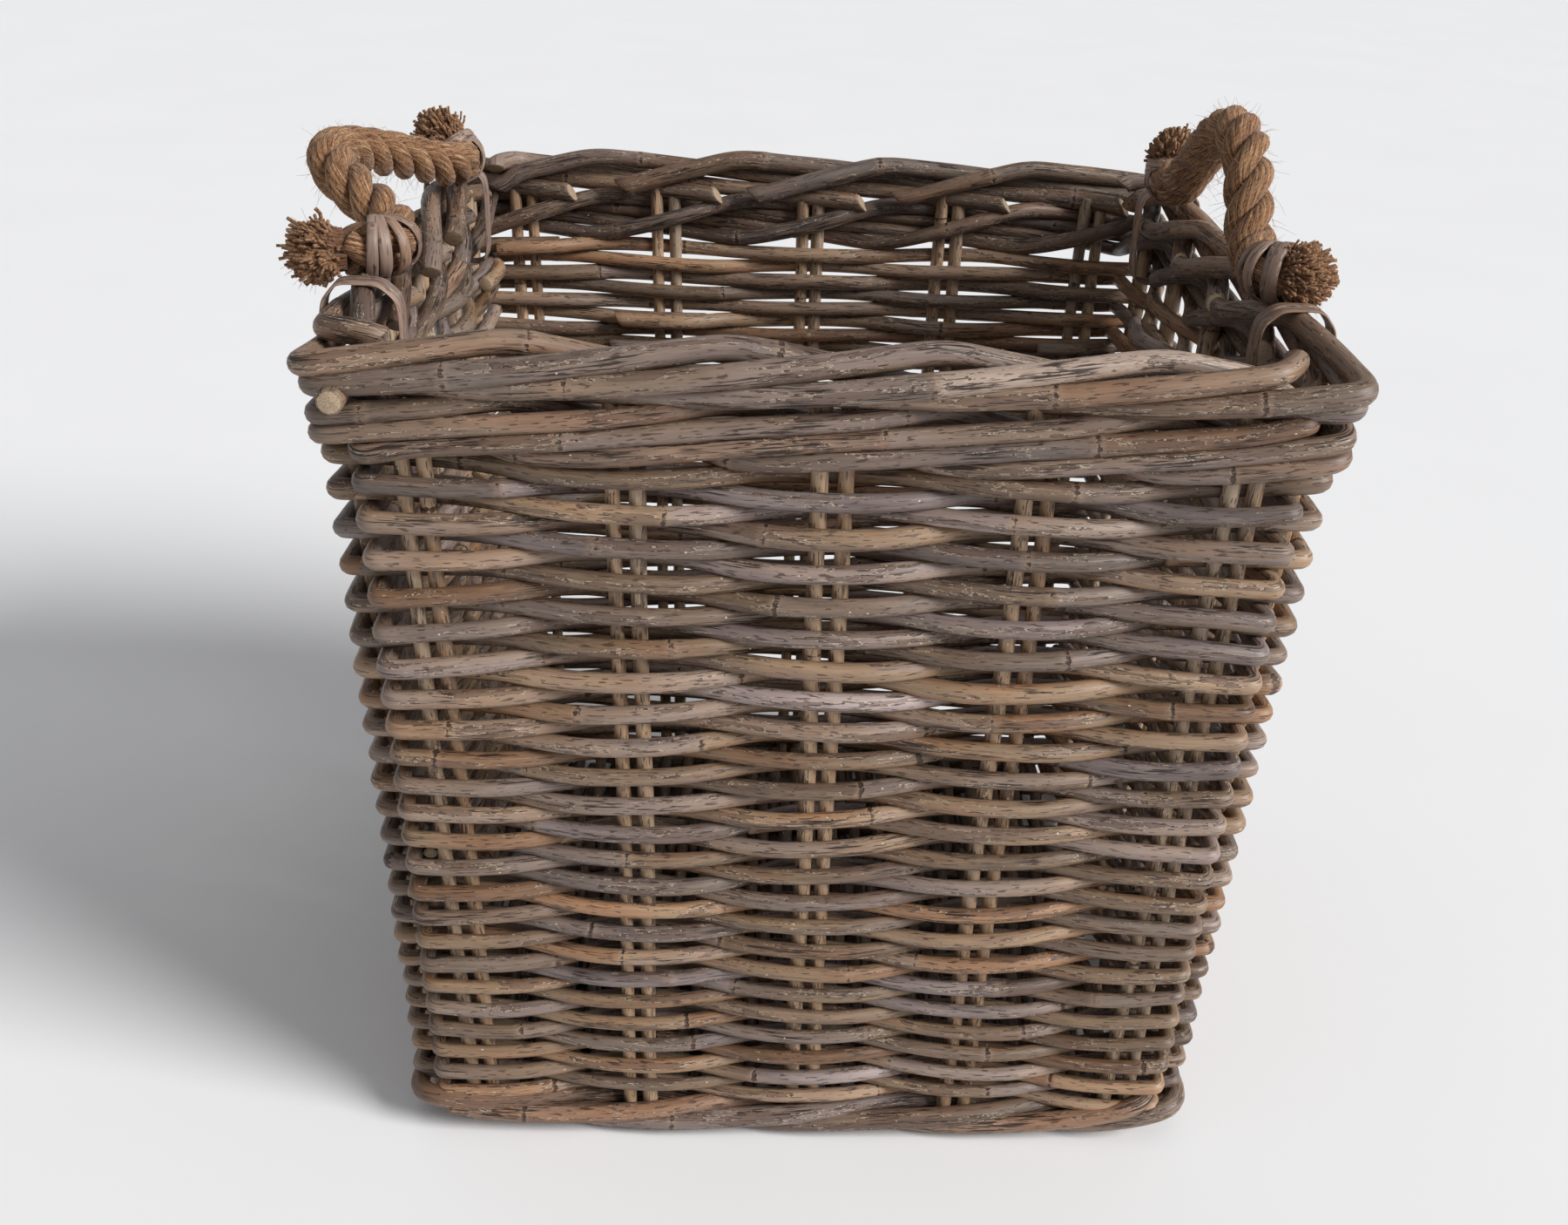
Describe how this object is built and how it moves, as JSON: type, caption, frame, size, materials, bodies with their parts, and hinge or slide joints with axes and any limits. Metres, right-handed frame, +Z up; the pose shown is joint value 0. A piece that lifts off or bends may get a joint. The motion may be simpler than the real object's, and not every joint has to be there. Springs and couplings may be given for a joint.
{
  "type": "woven laundry basket",
  "caption": "Square tapered laundry basket hand-woven from whole rattan rods, with a rolled border and a thick twisted-rope loop handle lashed to each side.",
  "frame": {"origin": "on the floor under the middle of the basket", "axes": "+Z up, front at -Y, rope handles on the -X and +X sides"},
  "size_m": [0.5252, 0.431, 0.5226],
  "materials": {
    "weaver_rattan": "satin",
    "stake_rattan": "satin",
    "wale_rattan": "satin",
    "border_rattan": "satin",
    "base_rattan": "matte",
    "rope": "matte",
    "peel": "satin"
  },
  "bodies": {
    "basket": {"base_sticks": "base_rattan", "base_weavers": "base_rattan", "foot_wale_lower": "wale_rattan", "foot_wale_middle": "wale_rattan", "foot_wale_upper": "wale_rattan", "stakes_front": "stake_rattan", "stakes_right": "stake_rattan", "stakes_back": "stake_rattan", "stakes_left": "stake_rattan", "weaver_band_01": "weaver_rattan", "weaver_band_02": "weaver_rattan", "weaver_band_03": "weaver_rattan", "weaver_band_04": "weaver_rattan", "weaver_band_05": "weaver_rattan", "weaver_band_06": "weaver_rattan", "weaver_band_07": "weaver_rattan", "weaver_band_08": "weaver_rattan", "weaver_band_09": "weaver_rattan", "weaver_band_10": "weaver_rattan", "weaver_band_11": "weaver_rattan", "rim_wale_lower": "wale_rattan", "rim_wale_middle": "wale_rattan", "rim_wale_upper": "wale_rattan", "border_rod_top": "border_rattan", "border_rod_outer": "border_rattan", "border_rod_inner": "border_rattan", "left_front_lashing": "peel", "left_back_lashing": "peel", "right_front_lashing": "peel", "right_back_lashing": "peel", "left_front_rope_end": "rope", "left_back_rope_end": "rope", "right_front_rope_end": "rope", "right_back_rope_end": "rope"},
    "left_handle": {"left_rope_handle": "rope"},
    "right_handle": {"right_rope_handle": "rope"}
  },
  "joints": [
    {"name": "left_handle_swing", "type": "hinge", "parent": "basket", "child": "left_handle", "pos_m": [-0.208, 0, 0.4613], "axis": [0, 1, 0], "range_deg": [-20, 140]},
    {"name": "right_handle_swing", "type": "hinge", "parent": "basket", "child": "right_handle", "pos_m": [0.208, 0, 0.4613], "axis": [0, -1, 0], "range_deg": [-80, 80]}
  ]
}
